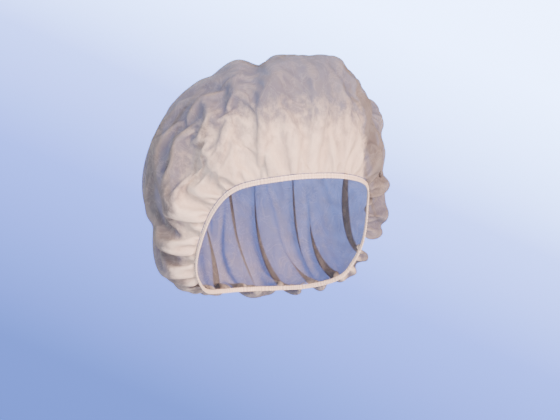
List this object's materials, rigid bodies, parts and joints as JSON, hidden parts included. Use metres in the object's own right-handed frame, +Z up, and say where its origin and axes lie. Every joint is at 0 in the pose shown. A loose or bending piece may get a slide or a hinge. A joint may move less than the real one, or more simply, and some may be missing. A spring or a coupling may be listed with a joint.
{
  "type": "bouffant cap",
  "caption": "Disposable bouffant cap: a gathered nonwoven crown on an elastic band, in the puffed shape that it keeps on a head.",
  "frame": {"origin": "middle of the head opening: half way from forehead to nape, and half way between the band's highest and lowest points", "axes": "+Z up along the head, -Y towards the face, +X towards the wearer's left"},
  "size_m": [0.2112, 0.2486, 0.2258],
  "materials": {
    "nonwoven": "thin, slightly see-through spunbond nonwoven, matt",
    "elastic_casing": "nonwoven folded over elastic and crimped by it, matt"
  },
  "bodies": {
    "root": {"crown": "nonwoven", "elastic_band": "elastic_casing"}
  },
  "joints": []
}
